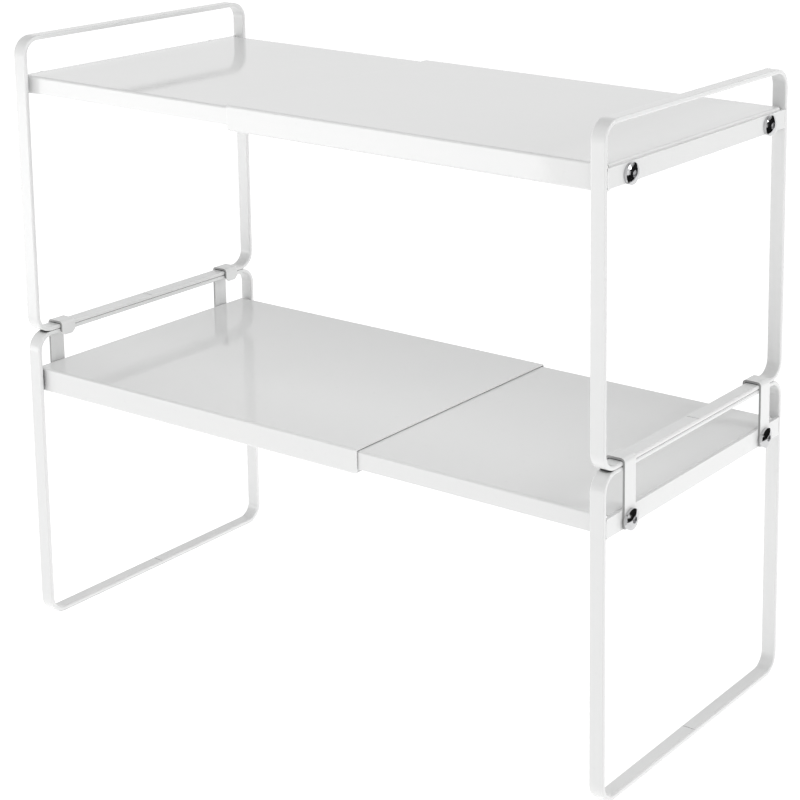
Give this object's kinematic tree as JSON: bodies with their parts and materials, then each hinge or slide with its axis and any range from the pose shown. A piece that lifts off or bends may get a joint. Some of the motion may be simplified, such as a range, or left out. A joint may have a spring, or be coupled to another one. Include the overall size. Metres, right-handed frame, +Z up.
{
  "type": "tiered shelf riser",
  "caption": "Two-tier shelf riser: stacked extending steel shelves on closed flat-bar side frames, tied together by bolted hook clips.",
  "frame": {"origin": "on the floor, in the middle of the footprint at the rest length", "axes": "+X along the shelves to the end with the lower inner panel, +Y to the back, +Z up"},
  "size_m": [0.4738, 0.2, 0.4],
  "materials": {
    "white_powder_coat": "glossy white powder coat",
    "chrome_bolt": "polished",
    "zinc_fastener": "bright zinc plate"
  },
  "bodies": {
    "left_half": {"left_front_clip": "white_powder_coat", "left_rear_clip": "white_powder_coat", "lower_left_bolts": "chrome_bolt", "lower_left_crossbar": "white_powder_coat", "lower_left_frame": "white_powder_coat", "lower_left_nuts": "zinc_fastener", "lower_left_washers": "zinc_fastener", "lower_outer_panel": "white_powder_coat", "upper_inner_panel": "white_powder_coat", "upper_left_bolts": "chrome_bolt", "upper_left_crossbar": "white_powder_coat", "upper_left_frame": "white_powder_coat", "upper_left_nuts": "zinc_fastener", "upper_left_washers": "zinc_fastener"},
    "right_half": {"lower_inner_panel": "white_powder_coat", "lower_right_bolts": "chrome_bolt", "lower_right_crossbar": "white_powder_coat", "lower_right_frame": "white_powder_coat", "lower_right_nuts": "zinc_fastener", "lower_right_washers": "zinc_fastener", "right_front_clip": "white_powder_coat", "right_rear_clip": "white_powder_coat", "upper_outer_panel": "white_powder_coat", "upper_right_bolts": "chrome_bolt", "upper_right_crossbar": "white_powder_coat", "upper_right_frame": "white_powder_coat", "upper_right_nuts": "zinc_fastener", "upper_right_washers": "zinc_fastener"}
  },
  "joints": [
    {"name": "extension_slide", "type": "slide", "parent": "left_half", "child": "right_half", "axis": [1, 0, 0], "range_m": [-0.165, 0.05]}
  ]
}
